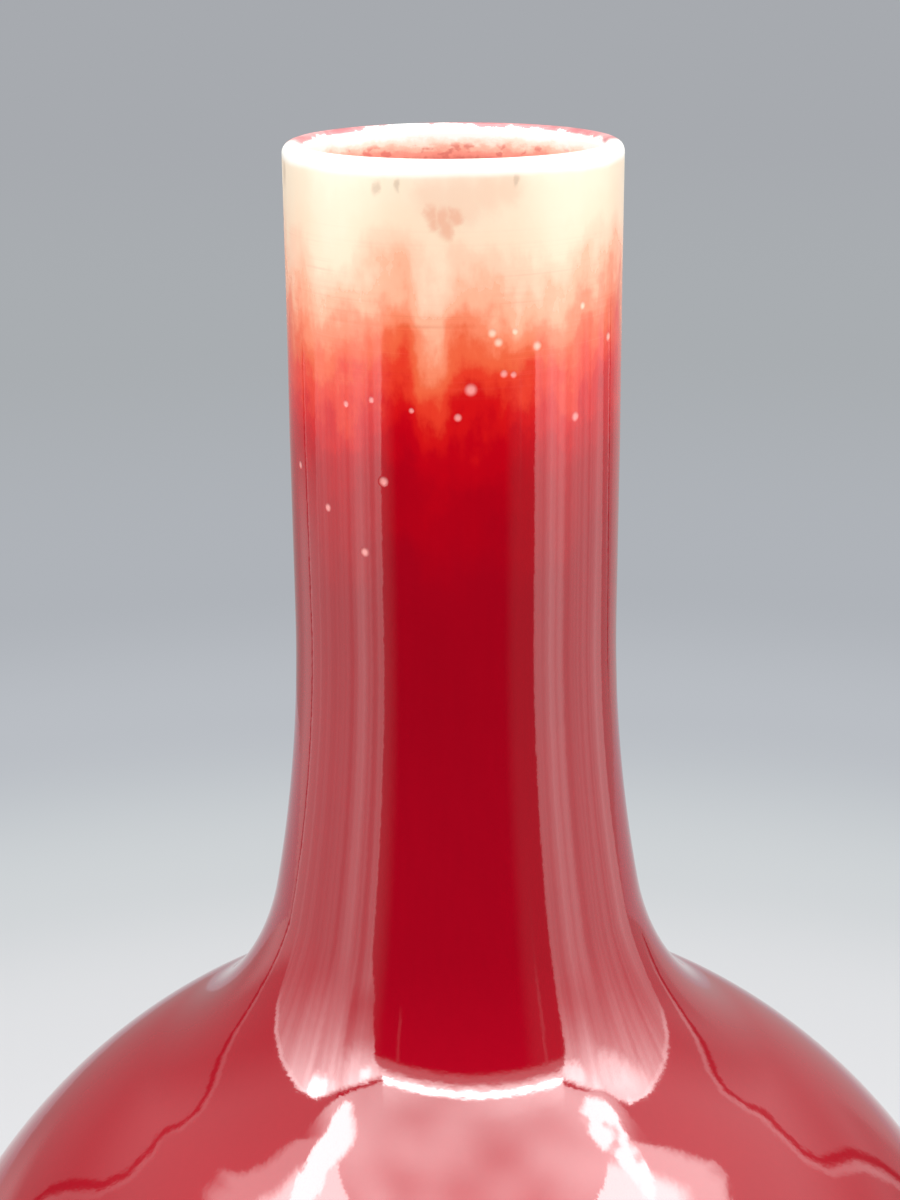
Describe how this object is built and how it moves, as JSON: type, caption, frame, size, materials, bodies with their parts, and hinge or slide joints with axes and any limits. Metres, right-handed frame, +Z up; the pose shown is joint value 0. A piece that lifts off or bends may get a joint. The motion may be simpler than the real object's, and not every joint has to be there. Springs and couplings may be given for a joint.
{
  "type": "bottle vase",
  "caption": "Porcelain bottle vase with a tall straight neck, a globular body and a low foot ring, in a glossy deep red glaze that thins to cream at the rounded lip.",
  "frame": {"origin": "middle of the foot ring's bearing edge, on the surface that the vase stands on", "axes": "+Z up along the vase's axis of revolution, out of the mouth; X and Y are any two directions across it"},
  "size_m": [0.2601, 0.2602, 0.4324],
  "materials": {
    "porcelain": "bare fired porcelain, matt, seen only on the foot ring's bearing edge",
    "luting_slip": "fired slip, matt, hidden by the glaze",
    "pale_glaze": "glossy, cream white",
    "red_glaze": "very glossy copper red, orange and streaked where it thins towards the lip",
    "lining_glaze": "glossy, dusky pink red with dark flecks"
  },
  "bodies": {
    "root": {"lower_body_section": "porcelain", "belly_slip_joint": "luting_slip", "upper_body_section": "porcelain", "neck_slip_joint": "luting_slip", "neck_section": "porcelain", "foot_ring": "porcelain", "foot_slip_joint": "luting_slip", "lip_glaze": "pale_glaze", "red_glaze": "red_glaze", "neck_lining_glaze": "lining_glaze", "base_glaze": "pale_glaze"}
  },
  "joints": []
}
